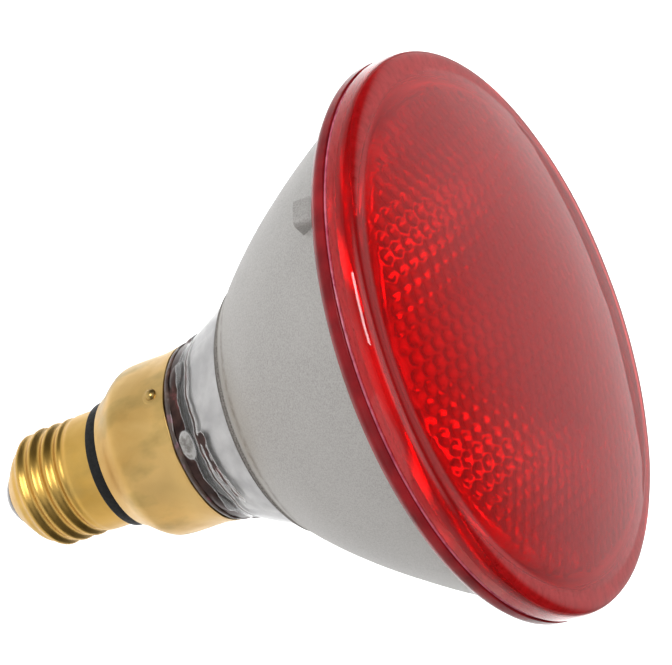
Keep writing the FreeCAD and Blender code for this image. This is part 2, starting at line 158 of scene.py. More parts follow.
def rounded(corners, steps=5):
    """An outline through corners (radius, height, cut), each rounded over that length of its sides."""
    path = []
    for k, (r, z, cut) in enumerate(corners):
        if not cut:
            path.append((r, z))
            continue
        here = np.array((r, z))
        sides = [np.array(corners[k + step][:2]) - here for step in (-1, 1)]
        start, end = (here + side * cut / np.linalg.norm(side) for side in sides)
        for t in np.linspace(0, 1, steps + 1):
            path.append(tuple((1 - t) ** 2 * start + 2 * t * (1 - t) * here + t * t * end))
    return path


def dense(path, step):
    """The same outline with no stretch longer than step."""
    points = [path[0]]
    for a, b in zip(path, path[1:]):
        count = max(1, math.ceil(math.dist(a, b) / step))
        points += [tuple(np.array(a) + (np.array(b) - a) * k / count) for k in range(1, count + 1)]
    return points


def dome_z(crown, radius):
    """Height of the lens's sphere at a radius."""
    return crown - CROWN_R + math.sqrt(CROWN_R ** 2 - radius ** 2)


def parabola(latus, vertex, r0, r1, steps):
    """A stretch of the parabola radius squared = latus * (height - vertex)."""
    return [(r, vertex + r * r / latus) for r in np.linspace(r0, r1, steps)]


def ramp(value, low, high):
    """Eases from 0 at low to 1 at high."""
    share = min(1.0, max(0.0, (value - low) / (high - low)))
    return share * share * (3 - 2 * share)


def wobble(angle, radius, z, grain, seed):
    """Smooth noise between -1 and 1 over a surface of revolution. grain is its size in millimetres."""
    place = Vector((radius * math.cos(angle), radius * math.sin(angle), z)) / grain
    return noise.noise(place + Vector((seed, -seed, 2 * seed)))


# ---- meshes ---------------------------------------------------------------------------------

class Skin:
    """A mesh under construction, in millimetres, made of rings round the lamp's axis."""

    def __init__(self, name):
        self.name = name
        self.points = []
        self.faces = []
        self.paints = []

    def ring(self, radius, z, segments, first_angle=0.0, relief=None):
        """One ring of points, or a single point on the axis."""
        start = len(self.points)
        if radius < TINY:
            self.points.append((0.0, 0.0, z))
            return [start]
        for k in range(segments):
            angle = first_angle + TURN * k / segments
            r, height = relief(angle, radius, z) if relief else (radius, z)
            self.points.append((r * math.cos(angle), r * math.sin(angle), height))
        return list(range(start, start + segments))

    def band(self, lower, upper, paint=0):
        """Faces between two rings. They look outward where the second ring is above the first."""
        for k in range(max(len(lower), len(upper))):
            after = (k + 1) % max(len(lower), len(upper))
            if len(upper) == 1:
                face = (lower[k], lower[after], upper[0])
            elif len(lower) == 1:
                face = (lower[0], upper[after], upper[k])
            else:
                face = (lower[k], lower[after], upper[after], upper[k])
            self.faces.append(face)
            self.paints.append(paint)

    def lathe(self, outline, segments, relief=None, paint=None, loop=False, first_angle=0.0):
        """Turns an outline, which runs upward on the outside, into faces."""
        rings = [self.ring(r, z, segments, first_angle, relief) for r, z in outline]
        spans = list(zip(outline, outline[1:], rings, rings[1:]))
        if loop:
            spans.append((outline[-1], outline[0], rings[-1], rings[0]))
        for a, b, lower, upper in spans:
            middle = ((a[0] + b[0]) / 2, (a[1] + b[1]) / 2)
            self.band(lower, upper, paint(*middle) if paint else 0)
        return rings

    def move(self, start, matrix):
        """Moves the points made since start."""
        for k in range(start, len(self.points)):
            self.points[k] = tuple(matrix @ Vector(self.points[k]))

    def build(self, materials, slot, *nodes):
        """The finished piece. It rides on the lamp and stands for those CAD nodes."""
        mesh = bpy.data.meshes.new(self.name)
        mesh.from_pydata((np.array(self.points) * MM).tolist(), [], self.faces)
        mesh.polygons.foreach_set("material_index", self.paints)
        mesh.polygons.foreach_set("use_smooth", [True] * len(self.faces))
        for material in materials:
            mesh.materials.append(material)
        mesh.update()
        piece = bpy.data.objects.new(self.name, mesh)
        bpy.context.scene.collection.objects.link(piece)
        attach(piece, "root")
        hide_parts(*nodes)
        return piece


def outward(angle, radius, z):
    """The frame of something that stands out of the side: its own +Z is the lamp's radius."""
    return (
        Matrix.Rotation(angle, 4, "Z")
        @ Matrix.Translation((radius, 0, z))
        @ Matrix.Rotation(math.pi / 2, 4, "Y")
    )


# ---- materials ------------------------------------------------------------------------------

class Finish:
    """A procedural material. Scales are in features per millimetre, in the CAD frame."""

    def __init__(self, name, **sockets):
        self.material = bpy.data.materials.new(name)
        self.material.use_nodes = True
        self.tree = self.material.node_tree
        self.shader = self.tree.nodes["Principled BSDF"]
        self.place = self.node("ShaderNodeTexCoord").outputs["Object"]
        for key, value in sockets.items():
            self.shader.inputs[key.replace("_", " ")].default_value = value

    def node(self, kind, **settings):
        made = self.tree.nodes.new(kind)
        for key, value in settings.items():
            setattr(made, key, value)
        return made

    def link(self, source, target):
        self.tree.links.new(source, target)

    def put(self, key, source):
        self.link(source, self.shader.inputs[key])

    def noise(self, scale, detail=3.0, stretch=(1, 1, 1), distortion=0.0):
        mapping = self.node("ShaderNodeMapping")
        mapping.inputs["Scale"].default_value = [s * scale / MM for s in stretch]
        self.link(self.place, mapping.inputs["Vector"])
        texture = self.node("ShaderNodeTexNoise")
        texture.inputs["Scale"].default_value = 1.0
        texture.inputs["Detail"].default_value = detail
        texture.inputs["Distortion"].default_value = distortion
        self.link(mapping.outputs["Vector"], texture.inputs["Vector"])
        return texture.outputs["Fac"]

    def height(self):
        """Height above the contact's tip, in metres."""
        split = self.node("ShaderNodeSeparateXYZ")
        self.link(self.place, split.inputs["Vector"])
        return split.outputs["Z"]

    def attribute(self, name):
        return self.node("ShaderNodeAttribute", attribute_name=name).outputs["Fac"]

    def spread(self, source, low, high, to_low, to_high):
        """Maps low..high to to_low..to_high, clamped."""
        made = self.node("ShaderNodeMapRange")
        for key, value in zip(("From Min", "From Max", "To Min", "To Max"), (low, high, to_low, to_high)):
            made.inputs[key].default_value = value
        self.link(source, made.inputs["Value"])
        return made.outputs["Result"]

    def colours(self, source, *stops):
        """A colour ramp of (place, (red, green, blue)) stops, in linear light."""
        made = self.node("ShaderNodeValToRGB")
        steps = made.color_ramp.elements
        while len(steps) < len(stops):
            steps.new(0.5)
        for step, (place, colour) in zip(steps, stops):
            step.position = place
            step.color = (*colour, 1)
        self.link(source, made.inputs["Fac"])
        return made.outputs["Color"]

    def mix(self, share, a, b):
        """Colour a where share is 0 and b where it is 1. Each is a socket or a plain colour."""
        made = self.node("ShaderNodeMix", data_type="RGBA")
        self.link(share, made.inputs["Factor"])
        for key, value in (("A", a), ("B", b)):
            socket = next(s for s in made.inputs if s.name == key and s.type == "RGBA")
            if isinstance(value, tuple):
                socket.default_value = (*value, 1)
            else:
                self.link(value, socket)
        return next(s for s in made.outputs if s.type == "RGBA")

    def product(self, a, b):
        made = self.node("ShaderNodeMath", operation="MULTIPLY")
        self.link(a, made.inputs[0])
        self.link(b, made.inputs[1])
        return made.outputs["Value"]

    def bump(self, source, depth, strength=1.0):
        """Fine relief. depth is in millimetres."""
        made = self.node("ShaderNodeBump")
        made.inputs["Strength"].default_value = strength
        made.inputs["Distance"].default_value = depth * MM
        self.link(source, made.inputs["Height"])
        previous = self.shader.inputs["Normal"].links
        if previous:
            self.link(previous[0].from_socket, made.inputs["Normal"])
        self.put("Normal", made.outputs["Normal"])


def red_glass():
    """The lens's red pressed glass."""
    made = Finish("red_glass", Transmission_Weight=0.83, IOR=1.5)
    depth = made.noise(0.02, 2.0)
    made.put("Base Color", made.colours(
        depth, (0.3, (0.94, 0.014, 0.018)), (0.7, (0.87, 0.010, 0.014))))
    made.put("Roughness", made.spread(made.noise(0.12, 4.0), 0.4, 0.8, 0.02, 0.06))
    made.bump(made.noise(0.05, 2.0), 0.12)
    return made.material


def clear_glass():
    """The neck's clear glass: brown where the point attribute marks cement, stains and a dark line of
    painted shade; pale on the lobes, a painted reflection, where the pale attribute says.
    """
    made = Finish("clear_glass", IOR=1.47)
    stain_and_shade = made.spread(made.attribute("stain_and_shade"), 0.15, 0.75, 0.0, 1.0)
    pale = made.attribute("pale")
    brown = made.colours(
        made.noise(0.35, 4.0),
        (0.35, (0.022, 0.011, 0.010)), (0.6, (0.050, 0.025, 0.021)), (0.75, (0.16, 0.050, 0.050)))
    # painted reflection: mottled pale lobes, with a painted highlight round their outline
    mottled = made.colours(
        made.noise(0.7, 4.0), (0.38, (0.30, 0.28, 0.26)), (0.60, (0.66, 0.65, 0.63)))
    lobe = made.mix(made.spread(pale, 0.7, 0.95, 0.0, 1.0), (0.90, 0.89, 0.88), mottled)
    glass = made.mix(pale, (0.96, 0.965, 0.96), lobe)
    made.put("Base Color", made.mix(stain_and_shade, glass, brown))
    made.put("Transmission Weight", made.product(
        made.spread(stain_and_shade, 0.0, 1.0, 1.0, 0.0), made.spread(pale, 0.0, 1.0, 1.0, 0.45)))
    made.put("Metallic", made.spread(stain_and_shade, 0.2, 1.0, 0.0, 0.85))
    made.put("Roughness", made.spread(stain_and_shade, 0.0, 1.0, 0.015, 0.28))
    made.bump(made.noise(0.25, 2.0), 0.08)
    return made.material


def frosted_bowl():
    """The outside of the bowl: satin grey, with a fine dark grain, and painted shade that darkens it
    towards the neck.
    """
    made = Finish("frosted_bowl", Metallic=0.25, Coat_Weight=0.25, Coat_Roughness=0.3, IOR=1.45)
    grain = made.colours(
        made.noise(3.2, 4.0),
        (0.36, (0.27, 0.262, 0.25)), (0.52, (0.35, 0.34, 0.325)), (0.68, (0.40, 0.39, 0.378)))
    height = made.height()
    # painted shade: darker towards the neck
    neck_shade = made.spread(height, (BOWL_FOOT + 0.2) * MM, (BOWL_FOOT + 8.7) * MM, 0.55, 0.0)
    shaded = made.mix(neck_shade, grain, (0.25, 0.23, 0.20))
    cloud = made.spread(made.noise(0.06, 3.0), 0.35, 0.75, 0.0, 0.35)
    clouded = made.mix(cloud, shaded, (0.42, 0.41, 0.395))
    line = made.product(
        made.spread(height, (SCORE_Z - 1.0) * MM, SCORE_Z * MM, 0.0, 1.0),
        made.spread(height, SCORE_Z * MM, (SCORE_Z + 1.2) * MM, 1.0, 0.0))
    worn = made.product(line, made.spread(made.noise(0.5, 4.0), 0.35, 0.6, 0.2, 0.85))
    made.put("Base Color", made.mix(worn, clouded, (0.13, 0.11, 0.09)))
    made.put("Roughness", made.spread(made.noise(2.6, 4.0), 0.3, 0.7, 0.55, 0.42))
    made.bump(made.noise(3.2, 4.0), 0.03)
    made.bump(made.noise(0.4, 3.0), 0.08)
    return made.material


def maroon_flange():
    """The flange's thick glass edge, dark red from the light caught in it."""
    made = Finish("maroon_flange", IOR=1.5, Specular_IOR_Level=0.15)
    depth = made.noise(0.15, 4.0)
    made.put("Base Color", made.colours(
        depth, (0.35, (0.14, 0.005, 0.008)), (0.7, (0.27, 0.010, 0.014))))
    made.put("Roughness", made.spread(made.noise(0.8, 4.0), 0.3, 0.7, 0.10, 0.20))
    made.bump(made.noise(0.3, 3.0), 0.05)
    return made.material


def groove_shadow():
    """The rough, unpolished groove between the neck and the bowl, painted dark as painted shadow."""
    made = Finish("groove", Roughness=0.7)
    made.put("Base Color", made.colours(
        made.noise(3.6, 4.0), (0.38, (0.06, 0.052, 0.044)), (0.66, (0.26, 0.24, 0.22))))
    made.bump(made.noise(2.2, 4.0), 0.12)
    return made.material


def silvering(name, low_gloss, high_gloss, level=1.0):
    """Evaporated aluminium film."""
    made = Finish(name, Metallic=1.0)
    dark = tuple(level * part for part in (0.66, 0.655, 0.67))
    light = tuple(level * part for part in (0.90, 0.895, 0.90))
    made.put("Base Color", made.colours(made.noise(0.2, 4.0), (0.35, dark), (0.7, light)))
    made.put("Roughness", made.spread(made.noise(0.35, 4.0), 0.3, 0.7, low_gloss, high_gloss))
    made.bump(made.noise(0.5, 4.0), 0.03)
    return made.material


def brass(name, pale, deep, low_gloss, high_gloss, tarnish):
    """Drawn brass sheet with uneven polish and olive tarnish."""
    made = Finish(name, Metallic=1.0)
    cloud = made.noise(0.07, 4.0, distortion=0.4)
    base = made.colours(cloud, (0.34, deep), (0.62, pale))
    patch = made.spread(made.noise(0.12, 4.0, stretch=(1, 1, 0.6)), 0.50, 0.72, 0.0, tarnish)
    made.put("Base Color", made.mix(patch, base, (0.34, 0.25, 0.085)))
    made.put("Roughness", made.spread(made.noise(0.35, 5.0), 0.3, 0.7, low_gloss, high_gloss))
    made.bump(made.noise(3.0, 3.0, stretch=(1, 1, 0.25)), 0.008)
    made.bump(made.noise(0.15, 2.0), 0.10)
    return made.material


def black_moulding():
    """The insulating ring's matt black moulding."""
    made = Finish("black_moulding", IOR=1.5, Specular_IOR_Level=0.2)
    made.put("Base Color", made.colours(
        made.noise(1.5, 4.0), (0.35, (0.006, 0.006, 0.006)), (0.7, (0.014, 0.014, 0.014))))
    made.put("Roughness", made.spread(made.noise(1.2, 3.0), 0.3, 0.7, 0.45, 0.62))
    made.bump(made.noise(2.5, 3.0), 0.04)
    return made.material


def black_glass():
    """The tip's glossy black glass."""
    made = Finish("black_glass", Coat_Weight=0.6, Coat_Roughness=0.04, IOR=1.55)
    made.put("Base Color", made.colours(
        made.noise(0.6, 4.0), (0.35, (0.006, 0.006, 0.009)), (0.7, (0.022, 0.020, 0.028))))
    made.put("Roughness", made.spread(made.noise(0.9, 3.0), 0.3, 0.7, 0.12, 0.26))
    made.bump(made.noise(0.5, 3.0), 0.12)
    return made.material


def cement():
    """Dark brown baked cement, wetted by the glass in front of it."""
    made = Finish("cement", Coat_Weight=0.5, Coat_Roughness=0.2)
    base = made.colours(
        made.noise(0.35, 5.0),
        (0.30, (0.020, 0.009, 0.006)), (0.55, (0.055, 0.027, 0.018)), (0.8, (0.13, 0.075, 0.055)))
    spots = made.spread(made.noise(0.28, 2.0, stretch=(1, 1, 1.6)), 0.60, 0.68, 0.0, 0.8)
    made.put("Base Color", made.mix(spots, base, (0.16, 0.055, 0.075)))
    made.put("Roughness", made.spread(made.noise(1.5, 3.0), 0.3, 0.7, 0.35, 0.7))
    made.bump(made.noise(1.2, 4.0), 0.25)
    return made.material


def seal_and_highlight():
    """Fused line between lens and flange, its light pink partly a painted highlight along the bead."""
    made = Finish("seal_and_highlight", Coat_Weight=0.6, Coat_Roughness=0.1)
    made.put("Base Color", made.colours(
        made.noise(0.5, 4.0), (0.3, (0.45, 0.06, 0.12)), (0.7, (0.75, 0.22, 0.30))))
    made.put("Roughness", made.spread(made.noise(1.0, 3.0), 0.3, 0.7, 0.25, 0.45))
    made.bump(made.noise(0.8, 3.0), 0.05)
    return made.material


def metal(name, dark, light, low_gloss, high_gloss, grain=0.8):
    """A plain worked metal for the parts inside."""
    made = Finish(name, Metallic=1.0)
    made.put("Base Color", made.colours(made.noise(grain, 4.0), (0.3, dark), (0.7, light)))
    made.put("Roughness", made.spread(made.noise(grain * 2, 3.0), 0.3, 0.7, low_gloss, high_gloss))
    made.bump(made.noise(grain * 3, 3.0), 0.03)
    return made.material


def mineral(name, dark, light, rough):
    """Ceramic or woven glass for the insulators inside."""
    made = Finish(name, Roughness=rough)
    made.put("Base Color", made.colours(made.noise(1.0, 4.0), (0.3, dark), (0.7, light)))
    made.bump(made.noise(2.5, 3.0), 0.06)
    return made.material


# ---- lens -----------------------------------------------------------------------------------

def lenslet_height(x, y):
    """How far the lens's inner face bulges at a place: soft bumps on a triangular lattice."""
    step = LENSLET_PITCH * np.array([
        (math.cos(LENSLET_TURN), math.sin(LENSLET_TURN)),
        (math.cos(LENSLET_TURN + TURN / 6), math.sin(LENSLET_TURN + TURN / 6)),
    ])
    place = np.stack([x, y], axis=-1)
    cell = np.floor(place @ np.linalg.inv(step))
    height = np.zeros(x.shape)
    for corner in ((0, 0), (1, 0), (0, 1), (1, 1)):
        centre = (cell + corner) @ step
        away = np.minimum(np.linalg.norm(place - centre, axis=-1) / LENSLET_R, 1)
        swell = LENSLET_RISE * (1 - away ** 2)
        swell[np.linalg.norm(centre, axis=-1) > LENSLET_FIELD] = 0
        height = np.maximum(height, swell)
    return height


def lens_disc(skin):
    """The inner face as a grid bent into a disc. Returns its edge ring, from -45 degrees round."""
    side = np.linspace(-1, 1, DISC_CELLS + 1)
    a, b = np.meshgrid(side, side, indexing="ij")
    wide = np.abs(a) > np.abs(b)
    radius = np.where(wide, a, b)
    safe_a = np.where(a == 0, 1, a)
    safe_b = np.where(b == 0, 1, b)
    angle = np.where(wide, TURN / 8 * b / safe_a, TURN / 4 - TURN / 8 * a / safe_b)
    x = DISC_R * radius * np.cos(angle)
    y = DISC_R * radius * np.sin(angle)
    z = CROWN_Z - LENS_T - CROWN_R + np.sqrt(CROWN_R ** 2 - x ** 2 - y ** 2) - lenslet_height(x, y)
    start = len(skin.points)
    skin.points += list(zip(x.ravel().tolist(), y.ravel().tolist(), z.ravel().tolist()))
    index = start + np.arange(a.size).reshape(a.shape)
    quads = np.stack([index[:-1, :-1], index[:-1, 1:], index[1:, 1:], index[1:, :-1]], axis=-1)
    skin.faces += quads.reshape(-1, 4).tolist()
    skin.paints += [0] * DISC_CELLS ** 2
    edge = [index[-1, :-1], index[::-1, -1][:-1], index[0, ::-1][:-1], index[:-1, 0]]
    return np.concatenate(edge).tolist()


def build_lens():
    """Domed lens: smooth dome, bead, valley and rounded band outside, lenslets inside."""
    skin = Skin("lens_glass")
    edge = lens_disc(skin)
    rim = rounded([
        (52.0, dome_z(CROWN_Z - LENS_T, DISC_R) - 0.5, 0),
        (53.6, LENS_BASE + 1.6, 0.8),
        (RIM_BORE_R, LENS_BASE, 0.2),
        (BAND_R - 0.7, LENS_BASE, 0.2),
        (BAND_R, BAND_LOW, 0.25),
        (BAND_R, BAND_HIGH, 2.4),
        (BEAD_R, dome_z(CROWN_Z, BEAD_R) - 0.06, 0.5),
        (DOME_EDGE_R - 0.4, dome_z(CROWN_Z, DOME_EDGE_R - 0.4), 0),
    ])
    dome = [(r, dome_z(CROWN_Z, r)) for r in np.linspace(DOME_EDGE_R - 1.6, 0, 18)]

    def relief(angle, radius, z):
        swell = 0.05 * wobble(angle, radius, z, 14, 3.0)
        return radius + swell * ramp(radius, 50, 58), z + swell * ramp(CROWN_Z - z, 0.0, 2.0)

    rings = skin.lathe(rim + dome, 4 * DISC_CELLS, relief, first_angle=-TURN / 8)
    skin.band(edge, rings[0])
    return skin.build([red_glass()], "lens", "lens")


# ---- reflector ------------------------------------------------------------------------------

def stain_and_shade_at(angle, z):
    """How brown or dark the neck is: cement behind the glass, a dark line of painted shade at the film's
    edge, a blot, a brushed trail.
    """
    degrees = math.degrees(angle) % 360
    drift = noise.noise(Vector((3 * math.cos(angle), 3 * math.sin(angle), 4.0)))
    ragged = noise.noise(Vector((9 * math.cos(angle), 9 * math.sin(angle), 2.0)))
    edge_z = CEMENT_EDGE_Z + 0.7 * drift + 0.25 * ragged
    cement_edge = 1 - ramp(z, edge_z, edge_z + 0.5)
    # painted shade: a dark line where refraction at the mirror film's edge looks dark
    film_edge_shade = 0.8 * (1 - ramp(abs(z - FILM_EDGE_Z - 0.8 * drift - 0.3 * ragged), 0.2, 0.7))
    off_blot = math.hypot((degrees - BLOT[0]) / BLOT_SIZE[0], (z - BLOT[1]) / BLOT_SIZE[1])
    blot = 1 - ramp(off_blot, 0.7, 1.1)
    trail_z = TRAIL_Z[0] + (TRAIL_Z[1] - TRAIL_Z[0]) * ramp(degrees, *TRAIL_RISE)
    along = 0.9 * ramp(degrees, *TRAIL_START) * (1 - ramp(degrees, *TRAIL_END))
    bristle = noise.noise(Vector((degrees / 30, z * 3.0, 7.0)))
    bristle += 0.4 * noise.noise(Vector((degrees / 4, z * 5.0, 1.0)))
    trail = along * (1 - ramp(abs(z - trail_z), 0.5, 1.5)) * ramp(bristle, -0.45, 0.15)
    return max(cement_edge, film_edge_shade, blot, trail)


def lobe_share(angle, radius, z):
    """1 at the middle of a lobe, 0 at its oval outline and beyond."""
    offset = (angle - LOBE_TURN) % (TURN / LOBE_COUNT)
    offset = min(offset, TURN / LOBE_COUNT - offset)
    return max(0.0, 1 - (radius * offset / LOBE_WIDE) ** 2 - ((z - LOBE_Z) / LOBE_HIGH) ** 2)


def build_reflector():
    """Pressed glass bowl: clear neck with lobes painted pale as a painted reflection, rough groove painted
    dark as painted shadow, frosted bowl, lugs and red flange.
    """
    skin = Skin("reflector_bowl")
    clear, frosted, maroon, rough, lining = range(5)
    bowl_r = math.sqrt(OUTER_LATUS * (FLANGE_BACK - OUTER_VERTEX))
    foot_r = math.sqrt(OUTER_LATUS * (BOWL_FOOT - OUTER_VERTEX))
    mouth_z = INNER_VERTEX + RIM_BORE_R ** 2 / INNER_LATUS
    below = rounded([
        (0, FLOOR_LOW, 0),
        (NECK_BORE_R, FLOOR_LOW, 1.0),
        (NECK_BORE_R, NECK_FOOT, 0.5),
        (SPIGOT_R, NECK_FOOT, 0.5),
        (SPIGOT_R, NECK_LOW[1] - 1.0, 0.4),
        (*NECK_LOW, 0.5),
        (NECK_LOW[0] + 0.2, NECK_LOW[1] + 1.0, 0),
    ])
    bend = rounded([below[-1] + (0,), (*NECK_KNEE, 0.9), (*NECK_HIGH, 0)])
    neck = dense(bend, 0.34)
    groove = rounded([
        (*NECK_HIGH, 0),
        (NECK_HIGH[0] - 0.25, NECK_HIGH[1] + 0.5, 0.25),
        (NECK_HIGH[0] + 1.3, NECK_HIGH[1] + 0.95, 0.35),
        (foot_r - 0.05, BOWL_FOOT - 0.5, 0.4),
        (foot_r + 0.1, BOWL_FOOT + 0.2, 0),
    ], 4)
    bowl = parabola(OUTER_LATUS, OUTER_VERTEX, foot_r + 0.6, bowl_r - 0.5, 52)
    flange = dense(rounded([
        (bowl_r - 0.2, FLANGE_BACK - 0.4, 0),
        (bowl_r + 0.1, FLANGE_BACK, 0.2),
        (RIM_R - 1.4, FLANGE_BACK, 0.5),
        (RIM_R - 0.05, FLANGE_BACK + 1.6, 0.8),
        (RIM_R - 0.1, FLANGE_TOP, 0.18),
        (RIM_BORE_R, FLANGE_TOP, 0.2),
        (RIM_BORE_R, mouth_z, 0.5),
        (RIM_BORE_R - 0.6, mouth_z - 1.2, 0),
    ]), 1.2)
    inside = parabola(INNER_LATUS, INNER_VERTEX, RIM_BORE_R - 1.5, 0, 44)
    outline = dense(below, 1.0)[:-1] + neck + groove[1:] + bowl + flange + inside

    def relief(angle, radius, z):
        if radius < SPIGOT_R or z < NECK_LOW[1] - 0.5:
            return radius, z
        lobe = LOBE_RISE * lobe_share(angle, radius, z) ** 0.45
        return radius + lobe + 0.04 * wobble(angle, radius, z, 9, 1.0), z

    def paint(radius, z):
        if z > FLANGE_BACK - 0.2 and radius > RIM_BORE_R - 0.1:
            return maroon
        outside = z > OUTER_VERTEX and radius > math.sqrt(OUTER_LATUS * (z - OUTER_VERTEX)) - 1.5
        if z > NECK_HIGH[1] and outside:
            # the groove takes the dark finish, painted shadow
            return rough if z < GROOVE_TOP else frosted
        return clear if radius > NECK_BORE_R + 0.2 or z > FLOOR_LOW + 1 else lining

    skin.lathe(outline, BOWL_SEGMENTS, relief, paint)
    for k in range(LUG_COUNT):
        start = len(skin.points)
        lug = rounded([
            (0, LUG_FOOT, 0),
            (LUG_R, LUG_FOOT, 0.3),
            (LUG_R, LUG_HEAD - 0.4, 0.5),
            (LUG_R - 0.3, LUG_HEAD, 0.4),
            (0, LUG_HEAD, 0),
        ])
        skin.lathe(dense(lug, 0.6), 32, lug_shape, lambda r, z: frosted)
        turn = Matrix.Rotation(LUG_TURN + k * TURN / LUG_COUNT, 4, "Z")
        skin.move(start, turn @ Matrix.Translation((LUG_REACH, 0, FLANGE_BACK - LUG_HEAD)))
    piece = skin.build([clear_glass(), frosted_bowl(), maroon_flange(), groove_shadow(), cement()],
                       "reflector_glass", "reflector_glass")
    low, high = NECK_LOW[1] - 1, NECK_HIGH[1]
    stains_and_shade, lobe_sheens = [], []
    for x, y, z in skin.points:
        radius, angle = math.hypot(x, y), math.atan2(y, x)
        seen = low < z < high and radius > SPIGOT_R
        # painted reflection: the lobes are painted pale, one lobe most of all, and less cement shows behind
        # them
        sheen_weight = 0.2 + 0.8 * max(0.0, math.cos(angle - SHEEN_LOBE)) ** 12
        pale = sheen_weight * min(1.0, 3 * lobe_share(angle, radius, z)) if seen else 0.0
        lobe_sheens.append(pale)
        stains_and_shade.append(stain_and_shade_at(angle, z) * (1 - 0.85 * pale) if seen else 0.0)
    for name, values in (("stain_and_shade", stains_and_shade), ("pale", lobe_sheens)):
        piece.data.attributes.new(name, "FLOAT", "POINT").data.foreach_set("value", values)
    return piece


def lug_shape(angle, radius, z):
    """Turns a round outline into a block with rounded corners."""
    c, s = abs(math.cos(angle)), abs(math.sin(angle))
    reach = ((c / LUG_FLATNESS) ** LUG_SQUARENESS + s ** LUG_SQUARENESS) ** (-1 / LUG_SQUARENESS)
    return radius * reach, z


def build_mirror():
    """Aluminium film on the bowl's inner face, carried on down the inside of the neck."""
    skin = Skin("mirror_film")
    bore_edge = RIM_BORE_R - 0.1
    front = [(r, z + MIRROR_T) for r, z in parabola(INNER_LATUS, INNER_VERTEX, bore_edge, 0, 60)]
    cone = parabola(INNER_LATUS, INNER_VERTEX, TAIL_JOIN_R + 2, bore_edge, 48)
    back = [(r + 0.04, z - 0.05) for r, z in cone]
    tail = rounded([
        (TAIL_JOIN_R - 0.2, 71.6, 0),
        (19.4, 59.6, 0.6),
        (17.0, 58.6, 0.8),
        (17.0, 58.4, 0),
        (19.7, 59.1, 0.6),
        (25.2, 71.9, 0.8),
        (TAIL_JOIN_R + 2.0, 72.4, 0),
    ])
    under = [(r, z - 0.05) for r, z in parabola(INNER_LATUS, INNER_VERTEX, 0, TAIL_JOIN_R - 0.3, 26)]
    shine, satin = 0, 1
    behind = skin.lathe(dense(under + tail + back, 1.2), MIRROR_SEGMENTS, None, lambda r, z: satin)
    ahead = skin.lathe(front, MIRROR_SEGMENTS, None, lambda r, z: shine)
    skin.band(behind[-1], ahead[0], satin)
    return skin.build([silvering("mirror_front", 0.14, 0.22), silvering("mirror_back", 0.34, 0.46, 0.78)],
                      "mirror", "mirror_coating")


def build_seal():
    """Thin fused ring that shows as a pink line in the groove under the lens; the pink is partly a painted
    highlight.
    """
    skin = Skin("rim_seal_ring")
    low, high = FLANGE_TOP - 0.04, LENS_BASE + 0.04
    outline = rounded([
        (RIM_BORE_R + 0.2, low, 0),
        (BAND_R - 0.55, low, 0.1),
        (BAND_R - 0.4, (low + high) / 2, 0.1),
        (BAND_R - 0.55, high, 0.1),
        (RIM_BORE_R + 0.2, high, 0),
    ])
    skin.lathe(dense(outline, 1.5), SEAL_SEGMENTS, loop=True)
    return skin.build([seal_and_highlight()], "rim_seal", "rim_seal")


def build_cement():
    """Cement ring round the neck, with an uneven bead proud of the skirt's mouth."""
    skin = Skin("cement_ring")
    bore = SKIRT_R - SKIRT_T - FIT_GAP
    outline = dense(rounded([
        (SPIGOT_R - FIT_GAP, CEMENT_FOOT, 0),
        (bore, CEMENT_FOOT, 0.3),
        (bore, MOUTH_Z - 4, 0.3),
        (MOUTH_R - SKIRT_T - FIT_GAP, MOUTH_Z, 0.3),
        (MOUTH_R - 0.05, MOUTH_Z + 0.25, 0.2),
        (MOUTH_R + 0.25, NECK_LOW[1] - 0.2, 0.3),
        (NECK_LOW[0] + 0.1, NECK_LOW[1] + 0.4, 0.25),
        (NECK_LOW[0] - 0.1, NECK_LOW[1] - 0.2, 0.1),
        (SPIGOT_R - FIT_GAP, NECK_LOW[1] - 1.1, 0),
    ]), 0.5)

    def relief(angle, radius, z):
        proud = ramp(z, MOUTH_Z, MOUTH_Z + 1.2) * ramp(radius, SPIGOT_R + 1.0, SPIGOT_R + 1.8)
        return (radius + 0.16 * proud * wobble(angle, radius, 0, 2.5, 5.0),
                z + proud * (0.35 * wobble(angle, radius, 0, 4.0, 2.0) + 0.1))

    skin.lathe(outline, SKIRT_SEGMENTS, relief, loop=True)
    return skin.build([cement()], "cement", "basing_cement")


# ---- cap ------------------------------------------------------------------------------------

